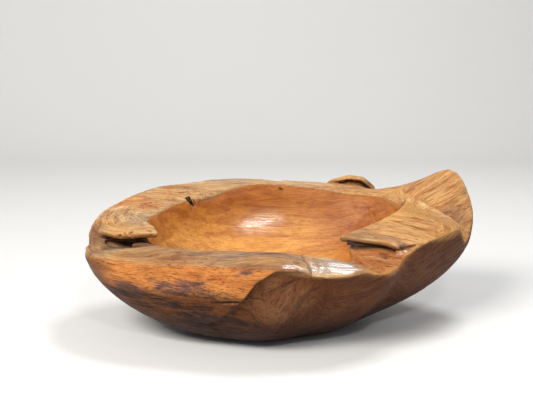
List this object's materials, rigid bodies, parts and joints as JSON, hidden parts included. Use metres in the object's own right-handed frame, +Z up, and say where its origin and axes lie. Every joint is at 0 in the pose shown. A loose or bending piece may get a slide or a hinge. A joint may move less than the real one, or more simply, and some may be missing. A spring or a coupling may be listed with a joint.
{
  "type": "carved root-wood bowl",
  "caption": "Boat-shaped bowl hollowed from one block of root wood, with a natural layered rim, an upswept wing at one end and bark left in its pockets.",
  "frame": {"origin": "centre of the flat sanded foot that the bowl rests on", "axes": "+Z up out of the hollow, +X along the length to the upswept wing, +Y to the high back of the rim"},
  "size_m": [0.4012, 0.2776, 0.151],
  "materials": {
    "root_wood": "hand-rubbed satin polish",
    "dead_bark": "raw, matt and flaky"
  },
  "bodies": {
    "root": {"bowl_body": "root_wood", "left_bark": "dead_bark", "right_bark": "dead_bark", "rim_bark": "dead_bark"}
  },
  "joints": []
}
